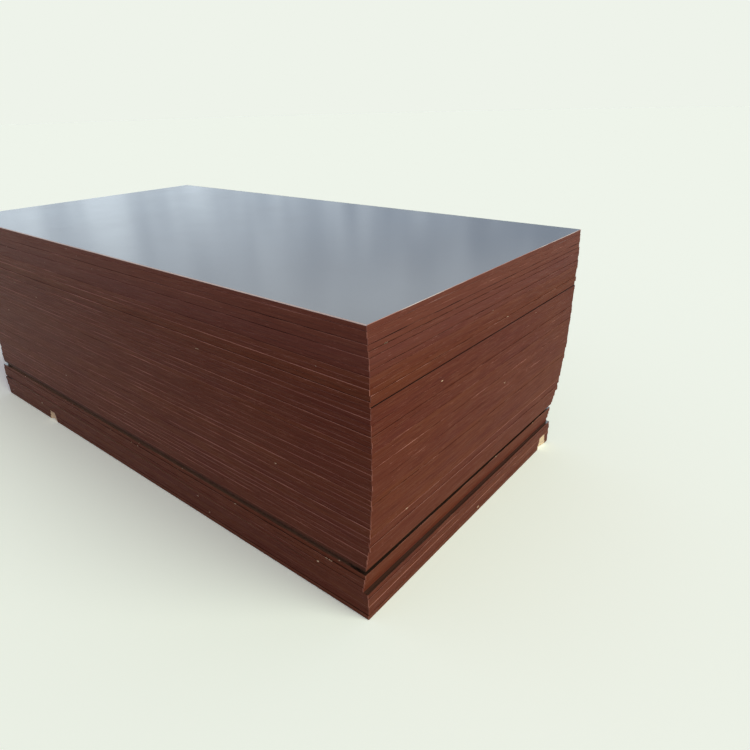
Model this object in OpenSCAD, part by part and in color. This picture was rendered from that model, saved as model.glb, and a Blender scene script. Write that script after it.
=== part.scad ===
// Stack of brown film-faced plywood sheets, all lying flat.
// A main pack lies on a packing board, and the board lies on a base pack of the same sheets.
// The origin is the middle of the footprint, on the floor. +X runs along the sheets and +Z is up.
// The lie of a sheet is measured at its front corner, where the +X end and the -Y side meet.

/* [Sheet] */
// Length of a sheet
sheet_length = 2440; // [1000:10:3050]
// Width of a sheet
sheet_width = 1220; // [600:10:1525]
// Thickness of a sheet
sheet_thickness = 16; // [6:0.5:30]
// Bevel on the arrises of a sheet
arris = 0.6; // [0.1:0.1:1.5]

/* [Main pack] */
// Number of sheets in the main pack
main_count = 46; // [16:1:49]
// Most that a sheet lies out of line, each way
stray = 1.3; // [0:0.1:3]
// Most that a sheet is turned out of line, in degrees
stray_turn = 0.03; // [0:0.01:0.1]
// Draw of the random lie of the sheets
stray_seed = 16; // [1:1:99]
// Number of sheets at the top of the pack, which lie back at the end face
top_count = 4; // [0:1:12]
// How far the top sheets lie back
top_set_back = 3.5; // [0:0.5:12]
// Number of sheets in the upper lift of the pack
lift_count = 12; // [0:1:16]
// How far the upper lift is pushed out past the sheets under it
lift_slip = 0.5; // [0:0.5:10]
// Number of sheets in the lower lift, which step back more and more towards the floor
toe_count = 32; // [1:1:40]
// How far the lowest sheet has stepped back
toe_step = 34; // [0:1:40]
// How sharply the step back grows towards the floor, where 1 is evenly
toe_curve = 3; // [1:0.5:4]
// Turn of the lowest sheet, in degrees
toe_turn = 0.1; // [0:0.05:0.5]
// How far a proud sheet stands out at the end face
proud_step = 3; // [0:0.5:8]

/* [Packing board] */
// Thickness of the packing board
board_thickness = 12; // [6:0.5:30]
// Inset of the packing board from the edges of the sheet under it, at the front corner
board_inset = 16; // [13:1:60]
// Turn of the packing board on that sheet, in degrees
board_turn = 0.04; // [0:0.01:0.28]

/* [Base pack] */
// Number of sheets in the upper part of the base
upper_base_count = 4; // [1:1:7]
// Number of sheets in the lower part of the base
lower_base_count = 6; // [1:1:9]
// How far the top sheet of the base lies back from the main pack's end face
upper_set_back = 35.5; // [0:0.5:60]
// How much further back each sheet under it lies, in the upper part
upper_step = 2.5; // [0:0.5:6]
// How far the lower part of the base lies back from the main pack's end face
lower_set_back = 25; // [0:1:60]
// How far the base stands out past the main pack's long side
base_set_out = 5; // [0:0.5:20]
// How far the top sheet of the base lies back from the next, along the long side
cap_set_back = 5; // [0:0.5:8]
// Turn of the upper part of the base, in degrees
upper_turn = 0.2; // [0:0.05:1]
// Turn of the lower part of the base, in degrees
lower_turn = 0.4; // [0:0.05:1]

/* [Broken edges] */
// Width of a broken place in the edges of the base
break_width = 66; // [20:1:120]
// Depth of a broken place
break_depth = 9; // [2:0.5:20]
// Share of a broken place that is lost with each sheet up
break_taper = 0.15; // [0:0.05:0.3]
// Middle of the broken place in the long side, from the far end
side_break_place = 494; // [100:1:900]
// Middle of the broken place in the end, from the back side
end_break_place = 62; // [40:1:500]

/* [Hidden] */
base_count = lower_base_count + upper_base_count;
board_level = base_count * sheet_thickness;
main_level = board_level + board_thickness;

// Sheets of the main pack that stand proud, and base sheets that are broken, from the lowest up
PROUD_SHEETS = [6, 8];
SIDE_BREAK_SHEETS = [1, 2, 3];
END_BREAK_SHEETS = [1, 2, 3];

// Random lie of each sheet, from -1 to 1
sheet_total = base_count + main_count;
STRAY_X = rands(-1, 1, sheet_total, stray_seed);
STRAY_Y = rands(-1, 1, sheet_total, stray_seed + 1);
STRAY_TURN = rands(-1, 1, sheet_total, stray_seed + 2);

function listed(list, value) = len(search(value, list)) > 0;
function numbered(stem, n) = str(stem, n < 10 ? "0" : "", n);
function stray_lie(n) = [stray * STRAY_X[n - 1], stray * STRAY_Y[n - 1], stray_turn * STRAY_TURN[n - 1]];

// Lie of base sheet n, as set-out along X, set-out along Y and turn
function upper_base_x(n) = -upper_set_back - upper_step * (base_count - n);
function is_upper(n) = n > lower_base_count;
function base_x(n) = is_upper(n) ? upper_base_x(n) : -lower_set_back;
function base_y(n) = n == base_count ? cap_set_back - base_set_out : -base_set_out;
function base_lie(n) = [base_x(n), base_y(n), is_upper(n) ? upper_turn : lower_turn] + stray_lie(n);

// Lie of sheet n of the main pack
function toe_share(n) = pow(max(0, (toe_count + 1 - n) / toe_count), toe_curve);
function lift_x(n) = n > main_count - lift_count ? lift_slip : 0;
function top_x(n) = n > main_count - top_count ? -top_set_back : 0;
function proud_x(n) = listed(PROUD_SHEETS, n) ? proud_step : 0;
function main_x(n) = lift_x(n) + top_x(n) + proud_x(n) - toe_step * toe_share(n);
function main_lie(n) = [main_x(n), 0, toe_turn * toe_share(n)] + stray_lie(base_count + n);

BASE_LIES = [for (n = [1:base_count]) base_lie(n)];
MAIN_LIES = [for (n = [1:main_count]) main_lie(n)];
LIES = concat(BASE_LIES, MAIN_LIES);

// Corner of a sheet in plan, and the middle of the box around all the corners
function corner_x(lie, along, across) = lie[0] + along * cos(lie[2]) - across * sin(lie[2]);
function corner_y(lie, along, across) = lie[1] + along * sin(lie[2]) + across * cos(lie[2]);
ALONG = [-sheet_length, 0];
ACROSS = [0, sheet_width];
CORNERS_X = [for (lie = LIES, along = ALONG, across = ACROSS) corner_x(lie, along, across)];
CORNERS_Y = [for (lie = LIES, along = ALONG, across = ACROSS) corner_y(lie, along, across)];
middle_x = (min(CORNERS_X) + max(CORNERS_X)) / 2;
middle_y = (min(CORNERS_Y) + max(CORNERS_Y)) / 2;

BASE_NODES = [for (n = [1:base_count]) numbered("base_sheet_", n)];
MAIN_NODES = [for (n = [1:main_count]) numbered("sheet_", n)];

// Section of a board from one edge to the other, with its four arrises bevelled
function bevelled(span, thickness) = [
    [0, arris], [arris, 0], [span - arris, 0], [span, arris],
    [span, thickness - arris], [span - arris, thickness], [arris, thickness], [0, thickness - arris]
];

// Board with bevelled arrises, its front corner at the origin
module board(length, width, thickness) {
    translate([-length, width, 0]) intersection() {
        rotate([90, 0, 0]) linear_extrude(width) polygon(bevelled(length, thickness));
        translate([0, -width, 0]) rotate([90, 0, 90]) linear_extrude(length) polygon(bevelled(width, thickness));
    }
}

// Broken place in an edge that runs along X at Y = 0, with the sheet on the +Y side
module broken_place(share) {
    half = break_width * share / 2;
    deep = break_depth * share;
    outline = [[-half, -deep], [-half, 0], [-half / 2, deep], [half / 4, deep / 2], [half, 0], [half, -deep]];
    translate([0, 0, -sheet_thickness]) linear_extrude(3 * sheet_thickness) polygon(outline);
}

// Each broken sheet above the first of its group has lost a little less of its edge
function break_share(group, n) = 1 - break_taper * (n - group[0]);

module broken_places(n) {
    if (listed(SIDE_BREAK_SHEETS, n)) {
        translate([side_break_place - sheet_length, 0, 0]) broken_place(break_share(SIDE_BREAK_SHEETS, n));
    }
    if (listed(END_BREAK_SHEETS, n)) {
        translate([0, sheet_width - end_break_place, 0])
            rotate([0, 0, 90]) broken_place(break_share(END_BREAK_SHEETS, n));
    }
}

module laid(lie, level) {
    translate([lie[0] - middle_x, lie[1] - middle_y, level]) rotate([0, 0, lie[2]]) children();
}

module base_sheet(n) {
    color("#5e3528") laid(BASE_LIES[n - 1], (n - 1) * sheet_thickness) difference() {
        board(sheet_length, sheet_width, sheet_thickness);
        broken_places(n);
    }
}

module packing_board() {
    length = sheet_length - 2 * board_inset;
    width = sheet_width - 2 * board_inset;
    color("#3a2a22") laid(BASE_LIES[base_count - 1], board_level)
        translate([-board_inset, board_inset, 0]) rotate([0, 0, board_turn]) board(length, width, board_thickness);
}

module main_sheet(n) {
    color("#6b3f2c") laid(MAIN_LIES[n - 1], main_level + (n - 1) * sheet_thickness)
        board(sheet_length, sheet_width, sheet_thickness);
}

for (n = [1:base_count]) {
    base_sheet(n);
}
packing_board();
for (n = [1:main_count]) {
    main_sheet(n);
}
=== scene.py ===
"""Stack of brown film-faced plywood sheets, dressed around its CAD frame.

Every sheet of the frame is made again with the edges that a sawn, painted and handled sheet has: they
wander a little, their arrises are worn in places, small chips are missing, and two places in the base
are broken out. All sizes are in metres, in the frame's own axes: +X along the sheets, +Z up, the floor
at Z = 0.
"""

from __future__ import annotations

import logging
import math
import random
from dataclasses import dataclass, replace
from enum import Enum

import bmesh
import bpy
from bpy.types import Material, Node, NodeSocket, NodeTree, Object
from mathutils import Matrix, Vector, noise

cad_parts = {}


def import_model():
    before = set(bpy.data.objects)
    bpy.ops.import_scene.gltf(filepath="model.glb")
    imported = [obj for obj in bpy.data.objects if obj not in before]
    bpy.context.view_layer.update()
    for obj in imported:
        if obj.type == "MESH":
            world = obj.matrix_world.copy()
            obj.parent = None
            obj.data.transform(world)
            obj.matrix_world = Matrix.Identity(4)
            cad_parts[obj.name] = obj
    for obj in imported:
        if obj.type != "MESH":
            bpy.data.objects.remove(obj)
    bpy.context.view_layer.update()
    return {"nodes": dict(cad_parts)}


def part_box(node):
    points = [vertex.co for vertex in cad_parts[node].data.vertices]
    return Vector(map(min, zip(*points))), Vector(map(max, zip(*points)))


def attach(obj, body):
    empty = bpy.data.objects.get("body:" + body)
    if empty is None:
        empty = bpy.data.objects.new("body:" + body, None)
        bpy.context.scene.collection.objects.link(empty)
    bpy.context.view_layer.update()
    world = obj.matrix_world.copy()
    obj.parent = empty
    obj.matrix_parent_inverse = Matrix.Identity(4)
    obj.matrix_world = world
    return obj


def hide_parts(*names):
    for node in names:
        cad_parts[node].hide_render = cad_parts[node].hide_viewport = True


LOG = logging.getLogger("plywood_stack")
MM = 0.001
BODY = "root"

# Thickness of one ply, of which a sheet has eleven
PLY = 16 * MM / 11

# Scale of a wave whose period is one ply, because its period at a scale of 1 is a tenth of pi
PLY_WAVE = math.pi / 10 / PLY

# Distances between rows of the noise: two sheets' wear, two sheets' saw cuts, and a sheet's two arrises
WEAR_ROW = 3.7
CUT_ROW = 1.9
ARRIS_ROW = 0.5

# Place in the noise from which the mean wear of a whole arris is read, and the distance of its rows
MEAN_PLACE = 0.3
MEAN_ROW = 7.1

# Size of a pattern that is laid out in metres
METRE = (1.0, 1.0, 1.0)

# Range that holds nearly all values of a noise texture
NOISE_RANGE = (0.3, 0.7)

# Input sockets of the Map Range node, in the order in which this script lists its limits
RANGE = ("From Min", "From Max", "To Min", "To Max")

# Setting and sockets of the Mix node for colours, which share their names with those for numbers
RGBA = {"data_type": "RGBA"}
MIX_FACTOR = 0
MIX_A = 6
MIX_B = 7
MIX_RESULT = 2


class Slot(Enum):
    """Finish of a face, by its place in the piece's list of materials."""

    FILM = 0
    EDGE = 1
    BARE = 2


class Side(Enum):
    """Side of a sheet that a stretch of its outline belongs to."""

    FRONT = "long side towards -Y"
    END = "short side towards +X"
    BACK = "long side towards +Y"
    FAR = "short side towards -X"
    BROKEN = "broken place"


class Layer(Enum):
    """Layer of the noise from which one kind of unevenness is read."""

    SLOW_WEAR = 0.0
    MEAN_WEAR = 2.0
    WANDER = 3.0
    WAVER = 5.0
    QUICK_WEAR = 9.0


def linear(hex_colour: str) -> tuple[float, float, float, float]:
    """Turn an sRGB hex colour to linear RGBA.

    Args:
        hex_colour: Colour such as "#7c4a34".

    Returns:
        Red, green, blue and an alpha of 1.
    """
    channels = []
    for place in (1, 3, 5):
        value = int(hex_colour[place : place + 2], 16) / 255
        channels.append(value / 12.92 if value <= 0.04045 else ((value + 0.055) / 1.055) ** 2.4)
    return (channels[0], channels[1], channels[2], 1.0)


def add_node(
    tree: NodeTree,
    kind: str,
    settings: dict[str, object] | None = None,
    sockets: dict[str | int, object] | None = None,
    links: dict[str | int, NodeSocket] | None = None,
) -> Node:
    """Add one node to a tree, with its settings and links.

    Args:
        tree: Tree that takes the node.
        kind: Type of the node.
        settings: Values of the node's own properties.
        sockets: Values of input sockets, by name or place.
        links: Output sockets that feed input sockets, by name or place.

    Returns:
        The new node.
    """
    node = tree.nodes.new(kind)
    for name, value in (settings or {}).items():
        setattr(node, name, value)
    for name, value in (sockets or {}).items():
        node.inputs[name].default_value = value
    for name, source in (links or {}).items():
        tree.links.new(source, node.inputs[name])
    return node


def new_material(name: str) -> tuple[Material, NodeTree]:
    """Make an empty node material.

    Args:
        name: Name of the material.

    Returns:
        The material and its node tree.
    """
    material = bpy.data.materials.new(name)
    material.use_nodes = True
    material.node_tree.nodes.clear()
    return material, material.node_tree


def stretched(tree: NodeTree, size: tuple[float, float, float]) -> NodeSocket:
    """Give coordinates in which one unit is a pattern's own size.

    Args:
        tree: Tree that takes the nodes.
        size: Size of the pattern along X, Y and Z, in metres.

    Returns:
        Output socket with the coordinates.
    """
    place = add_node(tree, "ShaderNodeTexCoord")
    scale = tuple(1 / length for length in size)
    return add_node(
        tree, "ShaderNodeVectorMath", {"operation": "MULTIPLY"}, {1: scale}, {0: place.outputs["Object"]}
    ).outputs["Vector"]


def seen_ray(tree: NodeTree) -> NodeSocket:
    """Tell the rays that show a surface, straight or mirrored, from those that only bring light.

    Args:
        tree: Tree that takes the nodes.

    Returns:
        Output socket that is 1 for camera, glossy and transmission rays, and otherwise 0.
    """
    path = add_node(tree, "ShaderNodeLightPath")
    seen = path.outputs["Is Camera Ray"]
    for kind in ("Is Glossy Ray", "Is Transmission Ray"):
        seen = add_node(
            tree,
            "ShaderNodeMath",
            {"operation": "ADD", "use_clamp": True},
            links={0: seen, 1: path.outputs[kind]},
        ).outputs["Value"]
    return seen


def add_surface(
    tree: NodeTree,
    height: NodeSocket,
    relief: dict[str, float],
    sockets: dict[str, float],
    links: dict[str, NodeSocket],
) -> None:
    """End a material's tree with its shader and its fine relief.

    Args:
        tree: Tree of the material.
        height: Output socket with the height of the relief.
        relief: Strength and depth of the relief.
        sockets: Values of the shader's input sockets.
        links: Output sockets that feed the shader's input sockets.
    """
    bump = add_node(tree, "ShaderNodeBump", None, relief, {"Height": height})
    lit = links | {"Normal": bump.outputs["Normal"]}
    shader = add_node(tree, "ShaderNodeBsdfPrincipled", None, sockets, lit)
    add_node(tree, "ShaderNodeOutputMaterial", links={"Surface": shader.outputs["BSDF"]})


@dataclass(frozen=True)
class PhenolicFilm:
    """Dark brown phenolic film, hot-pressed on both faces of the sheet.

    The hot plate leaves it smooth and glossy, so at a flat angle it mirrors its surroundings. The grain of
    the veneer below shows through as faint lines along the sheet, and the gloss is a little cloudy. Under a
    pack, dust gathers along the long sides. At the ends of the sheet that lies open in the slot, a
    near-black colour is painted as the shade inside the slot.
    """

    brown: str = "#36221a"
    dusty: str = "#4a3b33"
    soiled: str = "#8a6a58"
    painted_slot_shade: str = "#080504"
    # Distances from the middle of the stack, along X, at which the dust ends and the painted shade at the
    # ends starts and is full
    end_shade_start: float = 1.13
    end_shade_full: float = 1.17
    cloud: float = 260 * MM
    grain_run: float = 400 * MM
    grain_width: float = 7 * MM
    grain_depth: float = 0.05 * MM
    roughness: tuple[float, float] = (0.14, 0.24)
    ior: float = 1.68
    coat_ior: float = 1.62
    coat_roughness: float = 0.12

    def material(self) -> Material:
        """Make the film's material.

        Returns:
            The material.
        """
        material, tree = new_material("phenolic_film")
        patterns = (
            ((self.cloud, self.cloud, self.cloud), {"Detail": 4.0, "Roughness": 0.6}),
            ((self.grain_run, self.grain_width, self.grain_run), {"Detail": 3.0, "Roughness": 0.55}),
        )
        clouds, grain = (
            add_node(
                tree, "ShaderNodeTexNoise", None, {"Scale": 1.0} | detail, {"Vector": stretched(tree, size)}
            ).outputs["Fac"]
            for size, detail in patterns
        )
        colour = add_node(
            tree,
            "ShaderNodeMix",
            RGBA,
            {MIX_A: linear(self.brown), MIX_B: linear(self.dusty)},
            {MIX_FACTOR: clouds},
        ).outputs[MIX_RESULT]
        wear = add_node(tree, "ShaderNodeAttribute", {"attribute_name": "wear"}).outputs["Fac"]
        parts = add_node(tree, "ShaderNodeSeparateXYZ", links={"Vector": stretched(tree, METRE)})
        outwards, amount = (
            add_node(tree, "ShaderNodeMath", {"operation": "ABSOLUTE"}, links={0: source}).outputs["Value"]
            for source in (parts.outputs["X"], wear)
        )
        # Dust lies away from the ends, and at the ends, where the wear is under 0, a near-black painted
        # shade stands for the shade inside the slot
        layers = ((self.soiled, amount, (1.0, 0.0)), (self.painted_slot_shade, wear, (0.0, -1.0)))
        for tint, source, change in layers:
            limits = dict(zip(RANGE, (self.end_shade_start, self.end_shade_full, *change)))
            reach = add_node(tree, "ShaderNodeMapRange", None, limits, {"Value": outwards})
            share = add_node(
                tree,
                "ShaderNodeMath",
                {"operation": "MULTIPLY", "use_clamp": True},
                links={0: source, 1: reach.outputs["Result"]},
            ).outputs["Value"]
            colour = add_node(
                tree, "ShaderNodeMix", RGBA, {MIX_B: linear(tint)}, {MIX_FACTOR: share, MIX_A: colour}
            ).outputs[MIX_RESULT]
        limits = dict(zip(RANGE, (*NOISE_RANGE, *self.roughness)))
        gloss = add_node(tree, "ShaderNodeMapRange", None, limits, {"Value": clouds})
        add_surface(
            tree,
            grain,
            {"Strength": 0.25, "Distance": self.grain_depth},
            {
                "IOR": self.ior,
                "Coat Weight": 1.0,
                "Coat Roughness": self.coat_roughness,
                "Coat IOR": self.coat_ior,
            },
            {"Base Color": colour, "Roughness": gloss.outputs["Result"]},
        )
        return material


@dataclass(frozen=True)
class SealedEdge:
    """Brown sealing paint, sprayed on the sawn edges of the whole pack.

    The saw leaves the plies as faint level lines, and the thin paint soaks in unevenly, so the edge is
    satin with streaks along the sheet. Each sheet has a tone of its own, rubbed arrises go pale and others
    hold dirt. The same dark colour paints the shadow line under an overhanging sheet and darkens the foot
    of the main pack's lowest sheet. The top sheet's rim takes a near-white painted highlight of the gloss,
    and near the top of the stack a paler colour is painted as the sky's sheen on the paint.
    """

    orange_brown: str = "#733c23"
    red_brown: str = "#642c22"
    soaked: str = "#3c1b15"
    dusted: str = "#80614f"
    # Paler colour painted near the top of the stack as the sky's sheen on the paint
    painted_top_sheen: str = "#815350"
    # Dark colour of dirt in the arrises, also used for painted shade
    dirt_and_shade: str = "#1c0d0a"
    rubbed: str = "#d59c90"
    # Near-white painted highlight for the gloss on the top sheet's rim
    painted_rim_highlight: str = "#e6dada"
    soak_share: float = 0.65
    dust_share: float = 0.5
    top_sheen_share: float = 0.25
    fleck_share: float = 0.35
    tone_share: float = 0.5
    dirt_and_shade_gain: float = 2.5
    # Values of tone, streaks, flecks, wear and height at which each change starts and is full
    redden_range: tuple[float, float] = (0.3, 1.2)
    soak_range: tuple[float, float] = (0.45, 0.75)
    dust_range: tuple[float, float] = (0.45, 0.25)
    fleck_range: tuple[float, float] = (0.7, 0.8)
    # Wear at which the rubbed colour gives way to the painted rim highlight
    rim_highlight_range: tuple[float, float] = (0.7, 0.9)
    top_sheen_range: tuple[float, float] = (0.75, 0.81)
    streak_run: float = 90 * MM
    streak_height: float = 1.6 * MM
    patch_run: float = 300 * MM
    patch_height: float = 120 * MM
    fleck_run: float = 28 * MM
    fleck_height: float = 1.4 * MM
    relief: float = 0.15 * MM
    roughness: tuple[float, float] = (0.42, 0.56)
    ior: float = 1.4
    specular: float = 0.1

    def material(self) -> Material:
        """Make the sealed edge's material.

        Returns:
            The material.
        """
        material, tree = new_material("sealed_plywood_edge")
        tone, wear = (
            add_node(tree, "ShaderNodeAttribute", {"attribute_name": name}).outputs["Fac"]
            for name in ("tone", "wear")
        )
        patterns = (
            (self.streak_run, self.streak_height, {"Detail": 4.0, "Roughness": 0.6}),
            (self.patch_run, self.patch_height, {"Detail": 3.0, "Roughness": 0.55}),
            (self.fleck_run, self.fleck_height, {"Detail": 1.0}),
        )
        streaks, patches, flecks = (
            add_node(
                tree,
                "ShaderNodeTexNoise",
                None,
                {"Scale": 1.0} | detail,
                {"Vector": stretched(tree, (run, run, height))},
            ).outputs["Fac"]
            for run, height, detail in patterns
        )
        place = stretched(tree, METRE)
        plies = add_node(
            tree,
            "ShaderNodeTexWave",
            {"bands_direction": "Z"},
            {"Scale": PLY_WAVE, "Distortion": 0.4, "Detail": 2.0, "Detail Scale": 0.1},
            {"Vector": place},
        )
        parts = add_node(tree, "ShaderNodeSeparateXYZ", links={"Vector": place})
        toned = add_node(
            tree,
            "ShaderNodeMath",
            {"operation": "MULTIPLY_ADD"},
            {1: self.tone_share},
            {0: tone, 2: patches},
        )
        ranges = (
            (toned.outputs["Value"], *self.redden_range, 0.0, 1.0),
            (streaks, *self.soak_range, 0.0, self.soak_share),
            (streaks, *self.dust_range, 0.0, self.dust_share),
            # Painted sheen towards the top of the stack
            (parts.outputs["Z"], *self.top_sheen_range, 0.0, self.top_sheen_share),
            (flecks, *self.fleck_range, 0.0, self.fleck_share),
            (wear, *self.rim_highlight_range, 0.0, 1.0),
            (streaks, *NOISE_RANGE, *self.roughness),
        )
        reddening, soaking, dusting, fading, flecking, rim_highlighting, satin = (
            add_node(
                tree, "ShaderNodeMapRange", None, dict(zip(RANGE, limits)), {"Value": source}
            ).outputs["Result"]
            for source, *limits in ranges
        )
        # Negative wear darkens: dirt, and in places painted shade
        dirt_and_shade_share = add_node(
            tree,
            "ShaderNodeMath",
            {"operation": "MULTIPLY", "use_clamp": True},
            {1: -self.dirt_and_shade_gain},
            {0: wear},
        ).outputs["Value"]
        rubbing = add_node(
            tree,
            "ShaderNodeMath",
            {"operation": "MAXIMUM", "use_clamp": True},
            links={0: flecking, 1: wear},
        ).outputs["Value"]
        pairs = (
            (self.orange_brown, self.red_brown, reddening),
            (self.rubbed, self.painted_rim_highlight, rim_highlighting),
        )
        colour, rub_and_highlight = (
            add_node(
                tree,
                "ShaderNodeMix",
                RGBA,
                {MIX_A: linear(first), MIX_B: linear(second)},
                {MIX_FACTOR: share},
            ).outputs[MIX_RESULT]
            for first, second, share in pairs
        )
        layers = (
            (self.soaked, soaking),
            (self.dusted, dusting),
            # Painted sheen near the top, then dirt and painted shade
            (self.painted_top_sheen, fading),
            (self.dirt_and_shade, dirt_and_shade_share),
        )
        for tint, share in layers:
            colour = add_node(
                tree, "ShaderNodeMix", RGBA, {MIX_B: linear(tint)}, {MIX_FACTOR: share, MIX_A: colour}
            ).outputs[MIX_RESULT]
        colour = add_node(
            tree, "ShaderNodeMix", RGBA, links={MIX_FACTOR: rubbing, MIX_A: colour, MIX_B: rub_and_highlight}
        ).outputs[MIX_RESULT]
        height = add_node(
            tree, "ShaderNodeMath", {"operation": "ADD"}, links={0: plies.outputs["Fac"], 1: streaks}
        )
        add_surface(
            tree,
            height.outputs["Value"],
            {"Strength": 0.35, "Distance": self.relief},
            {"IOR": self.ior, "Specular IOR Level": self.specular},
            {"Base Color": colour, "Roughness": satin},
        )
        return material


@dataclass(frozen=True)
class BrokenVeneer:
    """Pale poplar veneer where a sheet has been chipped or broken.

    The break tears the plies apart: they show as pale bands with thin dark glue lines, dry and fibrous.
    """

    pale: str = "#fff4e0"
    honey: str = "#f6dcb0"
    glue: str = "#6b4326"
    glue_share: float = 0.4
    # Values of the plies' wave at which a glue line starts and is full
    glue_range: tuple[float, float] = (0.1, 0.0)
    fibre_run: float = 18 * MM
    fibre_width: float = 0.8 * MM
    relief: float = 0.4 * MM
    roughness: float = 0.85
    ior: float = 1.4

    def material(self) -> Material:
        """Make the broken veneer's material.

        Returns:
            The material.
        """
        material, tree = new_material("broken_poplar_veneer")
        fibres = add_node(
            tree,
            "ShaderNodeTexNoise",
            None,
            {"Scale": 1.0, "Detail": 4.0, "Roughness": 0.6},
            {"Vector": stretched(tree, (self.fibre_run, self.fibre_run, self.fibre_width))},
        ).outputs["Fac"]
        plies = add_node(
            tree,
            "ShaderNodeTexWave",
            {"bands_direction": "Z"},
            {"Scale": PLY_WAVE, "Distortion": 0.6, "Detail": 2.0, "Detail Scale": 0.1},
            {"Vector": stretched(tree, METRE)},
        )
        limits = dict(zip(RANGE, (*self.glue_range, 0.0, self.glue_share)))
        gluing = add_node(tree, "ShaderNodeMapRange", None, limits, {"Value": plies.outputs["Fac"]})
        wood = add_node(
            tree,
            "ShaderNodeMix",
            RGBA,
            {MIX_A: linear(self.pale), MIX_B: linear(self.honey)},
            {MIX_FACTOR: fibres},
        )
        colour = add_node(
            tree,
            "ShaderNodeMix",
            RGBA,
            {MIX_B: linear(self.glue)},
            {MIX_FACTOR: gluing.outputs["Result"], MIX_A: wood.outputs[MIX_RESULT]},
        )
        add_surface(
            tree,
            fibres,
            {"Strength": 0.6, "Distance": self.relief},
            {"IOR": self.ior, "Roughness": self.roughness},
            {"Base Color": colour.outputs[MIX_RESULT]},
        )
        return material


@dataclass(frozen=True)
class WeatheredBoard:
    """Rough packing board, grey-brown from weather and yard dust.

    The board is sawn and left bare, so it is dull and fibrous, and dust streaks it along its grain.
    """

    grey_brown: str = "#b49b88"
    dark: str = "#786152"
    fibre_run: float = 120 * MM
    fibre_width: float = 2 * MM
    relief: float = 0.4 * MM
    roughness: float = 0.9
    ior: float = 1.4

    def material(self) -> Material:
        """Make the weathered board's material.

        Returns:
            The material.
        """
        material, tree = new_material("weathered_board")
        fibres = add_node(
            tree,
            "ShaderNodeTexNoise",
            None,
            {"Scale": 1.0, "Detail": 5.0, "Roughness": 0.65},
            {"Vector": stretched(tree, (self.fibre_run, self.fibre_run, self.fibre_width))},
        ).outputs["Fac"]
        colour = add_node(
            tree,
            "ShaderNodeMix",
            RGBA,
            {MIX_A: linear(self.grey_brown), MIX_B: linear(self.dark)},
            {MIX_FACTOR: fibres},
        )
        add_surface(
            tree,
            fibres,
            {"Strength": 0.5, "Distance": self.relief},
            {"IOR": self.ior, "Roughness": self.roughness},
            {"Base Color": colour.outputs[MIX_RESULT]},
        )
        return material


@dataclass(frozen=True)
class ArrisWear:
    """How the arrises along one pair of a sheet's sides are worn.

    Attributes:
        width: Least and most width.
        rub: Mean wear, from -1, darkened by dirt and in a few places by painted shade, to 1, rubbed bare.
        shelter: How much less the lower arrises are rubbed than the upper ones.
        uneven: How much the wear comes and goes.
        run: Length over which it does so.
    """

    width: tuple[float, float]
    rub: float
    shelter: float
    uneven: float
    run: float


# Usual wear along the long sides and along the short ones
SIDE = ArrisWear((0.4 * MM, 1.6 * MM), rub=0.38, shelter=0.65, uneven=0.45, run=350 * MM)
END = ArrisWear((0.2 * MM, 0.9 * MM), rub=0.05, shelter=0.25, uneven=0.65, run=90 * MM)


@dataclass(frozen=True)
class EdgeWear:
    """How a sheet's edges have been sawn, rubbed and knocked.

    Attributes:
        side: Wear of the arrises along the long sides.
        end: Wear of the arrises along the short sides.
        most_rub: Most that an arris is rubbed; above 0.7 the pale rubbed colour gives way to a near-white
            painted highlight.
        wander: Most that the saw cut wanders inwards.
        foot_darkening: How much darker the lower part of the edge is along the long sides, from 0 to 1.
        soil: How dusty the two faces are along the long sides, from 0 to 1.
        painted_shade_ends: Whether a near-black painted shade takes the place of the dust at the ends of
            the faces.
        chips_per_metre: Number of chips in a metre of arris.
        chip_length: Least and most length of a chip.
        chip_depth: Least and most depth of a chip.
    """

    side: ArrisWear = SIDE
    end: ArrisWear = END
    most_rub: float = 0.7
    wander: float = 0.5 * MM
    foot_darkening: float = 0.0
    soil: float = 0.0
    painted_shade_ends: bool = False
    chips_per_metre: float = 0.08
    chip_length: tuple[float, float] = (4 * MM, 16 * MM)
    chip_depth: tuple[float, float] = (0.8 * MM, 2.4 * MM)


@dataclass(frozen=True)
class Chip:
    """Chip in an arris: its middle along the outline, half its length, its depth and if it is on top."""

    middle: float
    half: float
    depth: float
    on_top: bool

    def depth_at(self, along: float) -> float:
        """Give the depth of the chip at a distance along the outline."""
        share = 1 - abs(along - self.middle) / self.half
        return self.depth * math.sqrt(share) if share > 0 else 0.0


@dataclass(frozen=True)
class RimPoint:
    """Point of a sheet's outline, seen from above.

    Attributes:
        place: The point on the sheet's true outline.
        inward: Move that takes the point in by one unit, square to its side.
        side: Side that the point belongs to.
        along: Distance from the start of the outline.
    """

    place: Vector
    inward: Vector
    side: Side
    along: float

    @property
    def on_long_side(self) -> bool:
        """Tell whether the point is on one of the two long sides."""
        return self.side in (Side.FRONT, Side.BACK)


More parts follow.
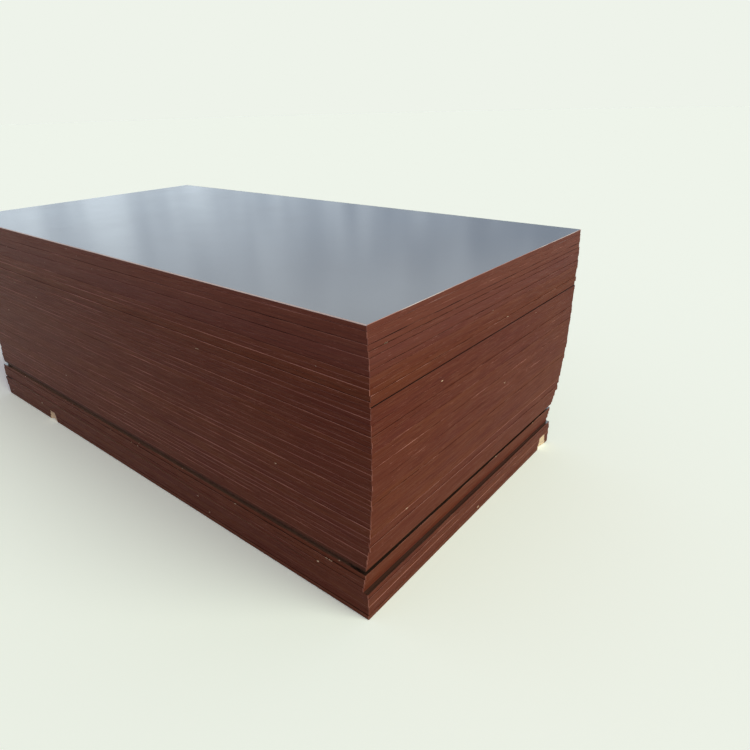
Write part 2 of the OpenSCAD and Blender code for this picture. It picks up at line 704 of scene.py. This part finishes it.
class Outline:
    """Outline of a node where a level plane cuts it, run anticlockwise."""

    # Least cosine of the angle between an edge and the side that it belongs to
    STRAIGHT = 0.999
    # Least sine of the turn at a corner
    LEAST_TURN = 0.002
    # Distance within which two points of a node are one
    SAME_POINT = 0.001 * MM

    def __init__(self, node: Object, level: float) -> None:
        """Trace the outline.

        Args:
            node: CAD node that is cut.
            level: Height of the cut.
        """
        self.corners = self.without_straight_points(self.cut(node, level))
        longest = max(range(len(self.corners)), key=lambda i: self.edge(i).length)
        direction = self.edge(longest).normalized()
        self.along = direction if direction.x > 0 else -direction

    @classmethod
    def cut(cls, node: Object, level: float) -> list[Vector]:
        """Cut a node with a level plane.

        Args:
            node: CAD node that is cut.
            level: Height of the cut.

        Returns:
            The points of the cut in order, anticlockwise.
        """
        cut = bmesh.new()
        cut.from_mesh(node.data)
        bmesh.ops.remove_doubles(cut, verts=cut.verts[:], dist=cls.SAME_POINT)
        bmesh.ops.bisect_plane(
            cut,
            geom=cut.verts[:] + cut.edges[:] + cut.faces[:],
            plane_co=(0, 0, level),
            plane_no=(0, 0, 1),
            clear_inner=True,
            clear_outer=True,
        )
        start = cut.verts[:][0]
        edge = start.link_edges[0]
        points = [start.co.xy]
        vertex = edge.other_vert(start)
        while vertex is not start:
            points.append(vertex.co.xy)
            edge = next(other for other in vertex.link_edges if other is not edge)
            vertex = edge.other_vert(vertex)
        cut.free()
        area = sum(a.x * b.y - b.x * a.y for a, b in zip(points, points[1:] + points[:1]))
        return points if area > 0 else points[::-1]

    @classmethod
    def without_straight_points(cls, points: list[Vector]) -> list[Vector]:
        """Drop the points at which the outline runs straight on.

        Args:
            points: Points of the outline in order.

        Returns:
            The points where the outline turns.
        """
        kept = []
        for i, point in enumerate(points):
            before = (point - points[i - 1]).normalized()
            after = (points[(i + 1) % len(points)] - point).normalized()
            if abs(before.cross(after)) > cls.LEAST_TURN:
                kept.append(point)
        return kept

    def edge(self, i: int) -> Vector:
        """Give the outline's edge that begins at corner i."""
        return self.corners[(i + 1) % len(self.corners)] - self.corners[i]

    def side(self, i: int) -> Side:
        """Tell which side of the sheet an edge belongs to.

        Args:
            i: Number of the corner at which the edge begins.

        Returns:
            The side, which is a broken place unless the edge runs along the sheet or square to it.
        """
        direction = self.edge(i).normalized()
        across = Vector((-self.along.y, self.along.x))
        runs = (
            (self.along, Side.FRONT),
            (across, Side.END),
            (-self.along, Side.BACK),
            (-across, Side.FAR),
        )
        for run, side in runs:
            if direction.dot(run) > self.STRAIGHT:
                return side
        return Side.BROKEN


@dataclass
class Sheet:
    """Sheet of plywood: its rim, built ring by ring from the top face to the bottom one, and its two faces.

    Attributes:
        node: Name of the CAD node that the sheet takes the place of.
        name: Name of the piece.
        wear: Wear of the sheet's edges.
        seed: Draw of the sheet's own chips and wander.
        tone_draw: Draw of the tones of all sheets.
        pitch: Distance between points along a whole edge.
        broken_pitch: Distance between points along a broken place and a chip.
        corner_wear: Least and most length that is worn off each corner.
        corner_rub: Least and most wear of the corners, from 0 to 1.
        corner_clearance: Distance from chip to corner, in lengths of the longest chip.
        upper_chips: Share of the chips that are in upper arrises.
        chip_margin: Distance from a chip's middle to the edge's next point, in half lengths of the chip.
        chip_roughness: Share of a chip's depth that comes and goes from point to point.
        least_chip_steps: Least number of steps along a chip.
        quickness: Number of quick swings of the wear in a slow one.
        lesser_share: Size of the quick swings and of the whole arris's own wear, beside the slow ones.
        wander_run: Length over which the saw cut wanders.
        waver: Most that the levels between the arrises lie further in.
        waver_run: Length over which they do so.
        splinter: Most that the plies of a broken place are torn back.
        level_count: Number of levels between the two arrises.
        broken_level_count: The same for a sheet with a broken place, about one for each ply.
        sharp_angle: Least angle between faces that makes a sharp edge.
    """

    node: str
    name: str
    wear: EdgeWear
    seed: int
    tone_draw: int = 1914
    pitch: float = 14 * MM
    broken_pitch: float = 2.5 * MM
    corner_wear: tuple[float, float] = (0.6 * MM, 2.2 * MM)
    corner_rub: tuple[float, float] = (0.1, 0.5)
    corner_clearance: float = 3
    upper_chips: float = 0.6
    chip_margin: float = 1.05
    chip_roughness: float = 0.3
    least_chip_steps: int = 4
    quickness: float = 5
    lesser_share: float = 0.6
    wander_run: float = 300 * MM
    waver: float = 0.2 * MM
    waver_run: float = 80 * MM
    splinter: float = 3.5 * MM
    level_count: int = 2
    broken_level_count: int = 9
    sharp_angle: float = math.radians(28)

    def build(self, cad: Object) -> Object:
        """Build the sheet's mesh in the place of its CAD node.

        Args:
            cad: CAD node's object.

        Returns:
            The new piece.
        """
        low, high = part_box(self.node)
        self.floor = low[2]
        self.thickness = high[2] - low[2]
        self.outline = Outline(cad, self.floor + self.thickness / 2)
        self.draw = random.Random(self.seed)
        self.chips = self.draw_chips()
        points = self.rim_points()
        broken = any(point.side is Side.BROKEN for point in points)
        levels = self.broken_level_count if broken else self.level_count
        sections = [self.profile(point, levels) for point in points]
        vertices = []
        for point, section in zip(points, sections):
            for inset, height in section:
                place = point.place + point.inward * inset
                vertices.append((place.x, place.y, self.floor + height))
        return self.skin(points, vertices, len(sections[0]))

    def draw_chips(self) -> list[Chip]:
        """Draw the chips along the outline's upper and lower arris.

        Returns:
            The chips, none of them in a broken place or near a corner.
        """
        chips = []
        start = 0.0
        clear = self.corner_clearance * self.wear.chip_length[1]
        for i in range(len(self.outline.corners)):
            length = self.outline.edge(i).length
            count = int(length * self.wear.chips_per_metre * 2 + self.draw.random())
            for _ in range(count):
                middle = start + self.draw.uniform(clear, max(length - clear, clear))
                half = self.draw.uniform(*self.wear.chip_length) / 2
                depth = self.draw.uniform(*self.wear.chip_depth)
                on_top = self.draw.random() < self.upper_chips
                if length > 2 * clear:
                    chips.append(Chip(middle, half, depth, on_top))
            start += length
        return chips

    def rim_points(self) -> list[RimPoint]:
        """Set out points along the outline, closer together at chips and broken places.

        Returns:
            The points in order.
        """
        points = []
        start = 0.0
        count = len(self.outline.corners)
        for i, corner in enumerate(self.outline.corners):
            edge = self.outline.edge(i)
            length = edge.length
            direction = edge.normalized()
            square = Vector((-direction.y, direction.x))
            side = self.outline.side(i)
            whole = side is not Side.BROKEN
            last_whole = self.outline.side((i - 1) % count) is not Side.BROKEN
            next_whole = self.outline.side((i + 1) % count) is not Side.BROKEN
            places = self.places_along(start, length, whole)
            places.append(self.draw.uniform(*self.corner_wear) if whole and last_whole else 0.0)
            if whole and next_whole:
                places.append(length - self.draw.uniform(*self.corner_wear))
            for place in sorted(places):
                points.append(RimPoint(corner + direction * place, square, side, start + place))
            start += length
        return points

    def places_along(self, start: float, length: float, whole: bool) -> list[float]:
        """Give distances along one edge of the outline, apart from its ends.

        Args:
            start: Distance of the edge's start from the outline's start.
            length: Length of the edge.
            whole: Whether the edge is whole, and not a broken place.

        Returns:
            The distances, in no order.
        """
        pitch = self.pitch if whole else self.broken_pitch
        count = max(1, round(length / pitch))
        places = [length * k / count for k in range(1, count)]
        for chip in self.chips:
            if not start < chip.middle < start + length:
                continue
            steps = max(self.least_chip_steps, round(2 * chip.half / self.broken_pitch))
            middle = chip.middle - start
            clear = chip.half * self.chip_margin
            places = [place for place in places if abs(place - middle) > clear]
            places += [middle + chip.half * (2 * k / steps - 1) for k in range(steps + 1)]
        return places

    def rub(self, point: RimPoint, on_top: bool) -> float:
        """Tell how much the arris at a point is rubbed.

        Args:
            point: Point of the rim.
            on_top: Whether the upper arris is meant.

        Returns:
            The wear, from -1, darkened, to 1, rubbed bare; on the top sheet's rim the highest values give a
            painted highlight.
        """
        arris = self.wear.side if point.on_long_side else self.wear.end
        place = point.along / arris.run
        row = self.seed * WEAR_ROW + (ARRIS_ROW if on_top else 0.0)
        whole = noise.noise(Vector((MEAN_PLACE, row * MEAN_ROW, Layer.MEAN_WEAR.value)))
        slow = noise.noise(Vector((place, row, Layer.SLOW_WEAR.value)))
        quick = noise.noise(Vector((place * self.quickness, row, Layer.QUICK_WEAR.value)))
        mean = arris.rub if on_top else arris.rub - arris.shelter
        swing = self.lesser_share * whole + slow + self.lesser_share * quick
        return min(self.wear.most_rub, max(-1.0, mean + arris.uneven * swing))

    def arris(self, point: RimPoint, on_top: bool) -> float:
        """Give the width of the arris at a point, with any chip there.

        Args:
            point: Point of the rim.
            on_top: Whether the upper arris is meant.

        Returns:
            The width.
        """
        arris = self.wear.side if point.on_long_side else self.wear.end
        least, most = arris.width
        width = least + (most - least) * abs(self.rub(point, on_top))
        deepest = max((c.depth_at(point.along) for c in self.chips if c.on_top is on_top), default=0.0)
        rough = self.chip_roughness
        return max(width, deepest * (1 - rough + rough * self.draw.random()))

    def profile(self, point: RimPoint, levels: int) -> list[tuple[float, float]]:
        """Give the section of the edge at a point.

        Args:
            point: Point of the rim.
            levels: Number of levels between the two arrises.

        Returns:
            Inset and height of each ring, from the top face to the bottom one.
        """
        if point.side is Side.BROKEN:
            # Each of the two arrises has a ring at its upper and one at its lower edge
            rings = levels + 4
            heights = [self.thickness * (1 - k / (rings - 1)) for k in range(rings)]
            return [(self.splinter * self.draw.random() ** 2, height) for height in heights]
        row = self.seed * CUT_ROW
        swing = noise.noise(Vector((point.along / self.wander_run, row, Layer.WANDER.value)))
        inset = self.wear.wander * min(1.0, max(0.0, 0.5 + 0.5 * swing))
        upper = self.arris(point, True)
        lower = self.arris(point, False)
        section = [(inset + upper, self.thickness), (inset, self.thickness - upper)]
        for k in range(1, levels + 1):
            height = self.thickness * (1 - k / (levels + 1))
            swing = noise.noise(Vector((point.along / self.waver_run, row, Layer.WAVER.value + k)))
            section.append((inset + self.waver * (0.5 + 0.5 * swing), height))
        section += [(inset, lower), (inset + lower, 0.0)]
        return section

    def skin(
        self,
        points: list[RimPoint],
        vertices: list[tuple[float, float, float]],
        rings: int,
    ) -> Object:
        """Close the rim with faces and give each its finish and wear.

        Args:
            points: Points of the rim in order.
            vertices: Vertices of the rings, point by point from the top down.
            rings: Number of rings.

        Returns:
            The new piece, not yet dressed.
        """
        count = len(points)
        top = [i * rings for i in range(count)]
        bottom = [i * rings + rings - 1 for i in reversed(range(count))]
        faces = [top, bottom]
        slots = [Slot.FILM.value, Slot.FILM.value]
        # For a sheet with painted shade at its ends, the faces' wear is made negative, which selects that
        # shade
        soil = -self.wear.soil if self.wear.painted_shade_ends else self.wear.soil
        wears = [soil, soil]
        for i, point in enumerate(points):
            j = (i + 1) % count
            middle = point.along if j == 0 else (point.along + points[j].along) / 2
            turned = point.side is not points[j].side and Side.BROKEN not in (point.side, points[j].side)
            corner_rub = self.draw.uniform(*self.corner_rub) if turned else 0.0
            for k in range(rings - 1):
                faces.append([i * rings + k, i * rings + k + 1, j * rings + k + 1, j * rings + k])
                arris = k in (0, rings - 2)
                chipped = any(c.on_top is (k == 0) and c.depth_at(middle) > 0 for c in self.chips)
                bare = point.side is Side.BROKEN or (arris and chipped)
                slots.append(Slot.BARE.value if bare else Slot.EDGE.value)
                # The foot of the edge is the two strips above the lower arris; along the long sides they
                # can be made darker
                in_foot = point.on_long_side and k >= rings - 4
                soiled = self.wear.foot_darkening if in_foot else 0.0
                wears.append(self.rub(point, k == 0) if arris else corner_rub - soiled)
        mesh = bpy.data.meshes.new(self.name)
        mesh.from_pydata(vertices, [], faces)
        mesh.polygons.foreach_set("material_index", slots)
        mesh.polygons.foreach_set("use_smooth", [k > 1 for k in range(len(faces))])
        mesh.attributes.new("wear", "FLOAT", "FACE").data.foreach_set("value", wears)
        tones = [random.Random(self.seed + self.tone_draw).random()] * len(faces)
        mesh.attributes.new("tone", "FLOAT", "FACE").data.foreach_set("value", tones)
        mesh.set_sharp_from_angle(angle=self.sharp_angle)
        mesh.update()
        piece = bpy.data.objects.new(self.name, mesh)
        bpy.context.scene.collection.objects.link(piece)
        return piece

    def dress(self, piece: Object, materials: list[Material]) -> None:
        """Give a piece its materials and its place in the frame.

        Args:
            piece: The piece.
            materials: Materials in the order of Slot.
        """
        for material in materials:
            piece.data.materials.append(material)
        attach(piece, BODY)
        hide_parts(self.node)


@dataclass
class PlywoodStack:
    """The whole stack: the main pack, the packing board and the base pack.

    Attributes:
        first_seed: Draw of the first sheet.
        sheet_slot: Name of the record's material slot for the sheets; it is not used.
        board_slot: The same for the packing board; it is not used.
        board_node: Name of the packing board's node.
        base_stem: Start of the names of the base sheets' nodes.
        long_run: Length over which long lines in the end face come and go.
        main_wear: Wear of the main pack's plain sheets.
        top_rim_highlight: The top sheet, whose rim is rubbed and carries a near-white painted highlight of
            the film's gloss.
        bottom_wear: The main pack's lowest sheet, which is darker towards its bottom, above the slot.
        proud_wear: The two sheets that stand proud, as pale lines in the end face.
        ruled_wear: The sheets that show as even pale and dark lines in the long side.
        over_shadow_line: The sheet above the long dark line in the end face, whose lower end arris is
            darkened as a painted shadow under its overhang.
        under_shadow_line: The sheet below that line, whose end arrises are darkened for the same painted
            shadow.
        lift_wear: The sheets near the top, which are rubbed less.
        over_dashes_wear: The sheet above the dashed dark line in the end face.
        under_dashes_wear: The sheet below that line.
        base_side: Wear of the arrises along the base's long sides.
        base_wear: Wear of the base's plain sheets.
        ledge_wear: The base sheet that makes the ledge, which is dusty.
        cap_wear: The base sheet under the top one, whose arrises are much chipped.
        slot_wear: The base's top sheet, which lies open in the slot, with painted shade at the ends of its
            faces.
        lined_wear: The base sheets that show as pale lines in the end face.
        board_wear: Wear of the packing board.
    """

    first_seed: int = 11
    sheet_slot: str = "film_faced_plywood"
    board_slot: str = "packing_board"
    board_node: str = "packing_board"
    base_stem: str = "base_sheet_"
    long_run: float = 260 * MM
    main_wear: EdgeWear = EdgeWear()
    # The top sheet's rim is worn up to the painted highlight
    top_rim_highlight: EdgeWear = EdgeWear(
        side=replace(SIDE, width=(1.4 * MM, 2.4 * MM), rub=0.97, uneven=0.15),
        end=replace(END, width=(0.5 * MM, 1.1 * MM), rub=0.8, uneven=0.4, run=long_run),
        most_rub=1.0,
    )
    # The lowest sheet is darker towards its bottom
    bottom_wear: EdgeWear = EdgeWear(
        end=replace(END, width=(0.3 * MM, 3.4 * MM), shelter=0.95, uneven=0.3, run=long_run),
        foot_darkening=0.2,
    )
    proud_wear: EdgeWear = EdgeWear(end=replace(END, rub=0.42, uneven=0.35, run=long_run))
    ruled_wear: EdgeWear = EdgeWear(side=replace(SIDE, rub=0.5, shelter=0.85, uneven=0.4))
    # Painted shadow line: the end arrises at this joint are darkened for the shadow under the upper lift's
    # overhang
    over_shadow_line: EdgeWear = EdgeWear(
        side=replace(SIDE, rub=0.5, shelter=0.85),
        end=ArrisWear((0.4 * MM, 1.6 * MM), rub=0.3, shelter=1.0, uneven=0.5, run=long_run),
    )
    under_shadow_line: EdgeWear = replace(
        over_shadow_line,
        end=ArrisWear((0.4 * MM, 1.5 * MM), rub=-0.5, shelter=-0.5, uneven=0.3, run=long_run),
    )
    lift_wear: EdgeWear = EdgeWear(side=replace(SIDE, rub=0.25, shelter=0.45))
    over_dashes_wear: EdgeWear = replace(
        lift_wear,
        end=ArrisWear((0.3 * MM, 1.7 * MM), rub=0.1, shelter=0.4, uneven=0.6, run=120 * MM),
    )
    under_dashes_wear: EdgeWear = replace(
        lift_wear,
        end=ArrisWear((0.3 * MM, 1.4 * MM), rub=-0.3, shelter=-0.35, uneven=0.6, run=120 * MM),
    )
    base_side: ArrisWear = replace(SIDE, rub=0.1)
    base_wear: EdgeWear = EdgeWear(base_side, replace(END, rub=0.1), wander=0.6 * MM, chips_per_metre=0.4)
    ledge_wear: EdgeWear = replace(base_wear, soil=0.8)
    cap_wear: EdgeWear = EdgeWear(
        base_side,
        replace(END, rub=0.35),
        chips_per_metre=2.5,
        chip_length=(3 * MM, 9 * MM),
        chip_depth=(0.6 * MM, 1.6 * MM),
    )
    # The top base sheet's film gets a near-black painted shade at its ends, for the shade inside the slot
    slot_wear: EdgeWear = replace(
        cap_wear, side=replace(base_side, shelter=0.35), soil=0.5, painted_shade_ends=True
    )
    lined_wear: EdgeWear = EdgeWear(base_side, replace(END, rub=0.5, uneven=0.5, run=160 * MM))
    board_wear: EdgeWear = EdgeWear(wander=1.5 * MM, chips_per_metre=1.0)

    def wears(self) -> dict[str, EdgeWear]:
        """List the sheets that have a wear of their own.

        Returns:
            The wear of each of these sheets, by the name of its node.
        """
        ruled = {f"sheet_{number}": self.ruled_wear for number in range(26, 37)}
        lift = {f"sheet_{number}": self.lift_wear for number in range(37, 46)}
        single = {
            "sheet_01": self.bottom_wear,
            "sheet_06": self.proud_wear,
            "sheet_08": self.proud_wear,
            "sheet_33": self.under_shadow_line,
            "sheet_34": self.over_shadow_line,
            "sheet_43": self.under_dashes_wear,
            "sheet_44": self.over_dashes_wear,
            "sheet_46": self.top_rim_highlight,
            "base_sheet_03": self.lined_wear,
            "base_sheet_05": self.lined_wear,
            "base_sheet_06": self.ledge_wear,
            "base_sheet_09": self.cap_wear,
            "base_sheet_10": self.slot_wear,
            self.board_node: self.board_wear,
        }
        return ruled | lift | single

    def build(self, nodes: dict[str, Object]) -> None:
        """Build and dress every piece of the stack.

        Args:
            nodes: The frame's CAD nodes by name.
        """
        plywood = [finish.material() for finish in (PhenolicFilm(), SealedEdge(), BrokenVeneer())]
        board = [WeatheredBoard().material()] * len(Slot)
        wears = self.wears()
        for number, name in enumerate(sorted(nodes)):
            usual = self.base_wear if name.startswith(self.base_stem) else self.main_wear
            stem, materials, slot = "plywood_", plywood, self.sheet_slot
            if name == self.board_node:
                stem, materials, slot = "bare_", board, self.board_slot
            sheet = Sheet(name, stem + name, wears.get(name, usual), self.first_seed + number)
            sheet.dress(sheet.build(nodes[name]), materials)
            LOG.info("%s takes the place of %s", sheet.name, name)

    @staticmethod
    def front_corner(nodes: dict[str, Object]) -> Vector:
        """Give the front corner of the top face, where the +X end and the -Y side meet.

        Args:
            nodes: The frame's CAD nodes by name.

        Returns:
            The corner.
        """
        top = max(nodes, key=lambda name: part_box(name)[1][2])
        low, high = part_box(top)
        return Vector((high[0], low[1], high[2]))


@dataclass
class Studio:
    """Pale floor, soft daylight and the camera.

    Heights and turns in the dome are Z and X of a direction of length 1.

    Attributes:
        floor_pale: Colour of the floor, as it lights the object.
        floor_seen: Colour of the floor, as it is seen.
        floor_gain: How much lighter the floor is seen than its colour, so that it meets the backdrop.
        floor_radius: Radius of the floor.
        floor_sides: Number of sides of the floor's rim.
        floor_drop: Distance of the floor below the object.
        backdrop: Colour of the plain backdrop that the camera sees.
        sky: Colour of the surroundings that a glossy face mirrors, half way up and towards -X.
        sky_low: The same near the horizon towards +Y.
        sky_high: The same straight overhead.
        sky_rise: Heights between which the low colour gives way to the sky's.
        sky_turn: Turns towards -X between which it does so.
        overhead: Heights between which the sky gives way to the colour overhead.
        panel_counts: Number of pale and dark panels in the low part, along each axis.
        panel_shade: Least and most that a panel adds to the sky's share.
        panel_rise: Heights between which the panels fade.
        panel_fade: Share of the panels at these heights.
        dome_tint: Colour of the light from all around.
        dome_light: Its strength.
        key_tint: Colour of the broad light from the right.
        key_light: Its strength.
        key_spread: Angle over which it is spread.
        key_azimuth: Its direction, from +X towards +Y.
        key_elevation: Its angle above the floor.
        key_distance: Its distance.
        eye: Camera's place from the front corner of the top face.
        aim: Point that the camera looks at, from that corner.
        roll: Turn of the camera about its view, anticlockwise.
        focal: Focal length in millimetres, for a frame of the width below.
        frame_width: Width of the camera's frame in millimetres.
        clip_end: Distance to which the camera sees.
    """

    floor_pale: str = "#c8c4c4"
    floor_seen: str = "#d4e1e1"
    floor_gain: float = 1.85
    floor_radius: float = 60.0
    floor_sides: int = 96
    floor_drop: float = 0.2 * MM
    backdrop: str = "#eef3ea"
    sky: str = "#e6f4ff"
    sky_low: str = "#94a3b4"
    sky_high: str = "#50545a"
    sky_rise: tuple[float, float] = (0.18, 0.34)
    sky_turn: tuple[float, float] = (-0.3, -1.1)
    overhead: tuple[float, float] = (0.6, 0.9)
    panel_counts: tuple[float, float, float] = (22.0, 22.0, 1.5)
    panel_shade: tuple[float, float] = (-0.45, 0.3)
    panel_rise: tuple[float, float] = (0.14, 0.34)
    panel_fade: tuple[float, float] = (1.0, 0.1)
    dome_tint: str = "#f7e2f3"
    dome_light: float = 0.298
    key_tint: str = "#fffee2"
    key_light: float = 2.08
    key_spread: float = math.radians(50)
    key_azimuth: float = math.radians(5)
    key_elevation: float = math.radians(40)
    key_distance: float = 6.0
    eye: tuple[float, float, float] = (0.78412, -0.91812, 0.45142)
    aim: tuple[float, float, float] = (-0.30000, 0.38410, -0.35240)
    roll: float = math.radians(-1.48)
    focal: float = 28.056
    frame_width: float = 36.0
    clip_end: float = 300.0

    def build(self, corner: Vector) -> None:
        """Build the floor, the light and the camera.

        Args:
            corner: Front corner of the stack's top face.
        """
        self.build_floor()
        self.build_world()
        self.build_key()
        self.build_camera(corner)
        bpy.context.scene.view_settings.view_transform = "Standard"

    def build_floor(self) -> None:
        """Build the floor, a wide disc just under the object."""
        rim = bmesh.new()
        bmesh.ops.create_circle(rim, cap_ends=True, radius=self.floor_radius, segments=self.floor_sides)
        mesh = bpy.data.meshes.new("studio_floor")
        rim.to_mesh(mesh)
        rim.free()
        floor = bpy.data.objects.new("studio_floor", mesh)
        floor.location.z = -self.floor_drop
        bpy.context.scene.collection.objects.link(floor)
        material, tree = new_material("matt_pale_floor")
        seen = tuple(channel * self.floor_gain for channel in linear(self.floor_seen)[:3]) + (1.0,)
        colour = add_node(
            tree,
            "ShaderNodeMix",
            RGBA,
            {MIX_A: linear(self.floor_pale), MIX_B: seen},
            {MIX_FACTOR: seen_ray(tree)},
        )
        shader = add_node(tree, "ShaderNodeBsdfDiffuse", links={"Color": colour.outputs[MIX_RESULT]})
        add_node(tree, "ShaderNodeOutputMaterial", links={"Surface": shader.outputs["BSDF"]})
        mesh.materials.append(material)

    def build_world(self) -> None:
        """Build the dome: what is seen and mirrored of it, and the light that it gives."""
        world = bpy.data.worlds.new("soft_dome")
        world.use_nodes = True
        tree = world.node_tree
        tree.nodes.clear()
        light = add_node(
            tree,
            "ShaderNodeBackground",
            None,
            {"Color": linear(self.dome_tint), "Strength": self.dome_light},
        )
        around = add_node(
            tree, "ShaderNodeBackground", None, {"Strength": 1.0}, {"Color": self.surroundings(tree)}
        )
        both = add_node(
            tree,
            "ShaderNodeMixShader",
            links={0: seen_ray(tree), 1: light.outputs["Background"], 2: around.outputs["Background"]},
        )
        add_node(tree, "ShaderNodeOutputWorld", links={"Surface": both.outputs["Shader"]})
        bpy.context.scene.world = world

    def surroundings(self, tree: NodeTree) -> NodeSocket:
        """Make the dome's colours: a plain backdrop for the camera, and an uneven sky for glossy faces.

        Args:
            tree: Tree of the world.

        Returns:
            Output socket with the colour.
        """
        direction = add_node(tree, "ShaderNodeTexCoord").outputs["Generated"]
        parts = add_node(tree, "ShaderNodeSeparateXYZ", links={"Vector": direction})
        height = parts.outputs["Z"]
        spread = add_node(
            tree, "ShaderNodeVectorMath", {"operation": "MULTIPLY"}, {1: self.panel_counts}, {0: direction}
        ).outputs["Vector"]
        panels = add_node(
            tree, "ShaderNodeTexNoise", None, {"Scale": 1.0, "Detail": 2.0}, {"Vector": spread}
        ).outputs["Fac"]
        ranges = (
            (height, "SMOOTHSTEP", *self.sky_rise, 0.0, 1.0),
            (parts.outputs["X"], "SMOOTHSTEP", *self.sky_turn, 0.0, 1.0),
            (height, "SMOOTHSTEP", *self.overhead, 0.0, 1.0),
            (panels, "LINEAR", *NOISE_RANGE, *self.panel_shade),
            (height, "LINEAR", *self.panel_rise, *self.panel_fade),
        )
        rise, turn, overhead, shade, fading = (
            add_node(
                tree,
                "ShaderNodeMapRange",
                {"interpolation_type": blend},
                dict(zip(RANGE, limits)),
                {"Value": source},
            ).outputs["Result"]
            for source, blend, *limits in ranges
        )
        lit = add_node(tree, "ShaderNodeMath", {"operation": "MAXIMUM"}, links={0: rise, 1: turn})
        uneven = add_node(
            tree,
            "ShaderNodeMath",
            {"operation": "MULTIPLY_ADD", "use_clamp": True},
            links={0: shade, 1: fading, 2: lit.outputs["Value"]},
        )
        colour = add_node(
            tree,
            "ShaderNodeMix",
            RGBA,
            {MIX_A: linear(self.sky_low), MIX_B: linear(self.sky)},
            {MIX_FACTOR: uneven.outputs["Value"]},
        ).outputs[MIX_RESULT]
        path = add_node(tree, "ShaderNodeLightPath")
        layers = ((self.sky_high, overhead), (self.backdrop, path.outputs["Is Camera Ray"]))
        for tint, share in layers:
            colour = add_node(
                tree, "ShaderNodeMix", RGBA, {MIX_B: linear(tint)}, {MIX_FACTOR: share, MIX_A: colour}
            ).outputs[MIX_RESULT]
        return colour

    def build_key(self) -> None:
        """Build the broad light from the right."""
        light = bpy.data.lights.new("broad_daylight", "SUN")
        light.energy = self.key_light
        light.angle = self.key_spread
        light.color = linear(self.key_tint)[:3]
        key = bpy.data.objects.new("broad_daylight", light)
        level = math.cos(self.key_elevation)
        towards = Vector(
            (
                level * math.cos(self.key_azimuth),
                level * math.sin(self.key_azimuth),
                math.sin(self.key_elevation),
            )
        )
        key.rotation_euler = towards.to_track_quat("Z", "Y").to_euler()
        key.location = towards * self.key_distance
        bpy.context.scene.collection.objects.link(key)

    def build_camera(self, corner: Vector) -> None:
        """Build the camera.

        Args:
            corner: Front corner of the stack's top face.
        """
        data = bpy.data.cameras.new("photo_camera")
        data.sensor_width = self.frame_width
        data.lens = self.focal
        data.clip_end = self.clip_end
        camera = bpy.data.objects.new("photo_camera", data)
        eye = corner + Vector(self.eye)
        view = Vector(self.aim) - Vector(self.eye)
        turn = view.to_track_quat("-Z", "Y").to_matrix() @ Matrix.Rotation(self.roll, 3, "Z")
        camera.matrix_world = Matrix.Translation(eye) @ turn.to_4x4()
        bpy.context.scene.collection.objects.link(camera)
        bpy.context.scene.camera = camera


def main() -> None:
    """Build the stack and the studio around the frame."""
    logging.basicConfig(level=logging.INFO, format="%(name)s: %(message)s")
    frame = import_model()
    nodes = frame["nodes"]
    studio = Studio()
    studio.build(PlywoodStack.front_corner(nodes))
    PlywoodStack().build(nodes)
    LOG.info("sizes written")


if __name__ == "__main__":
    main()
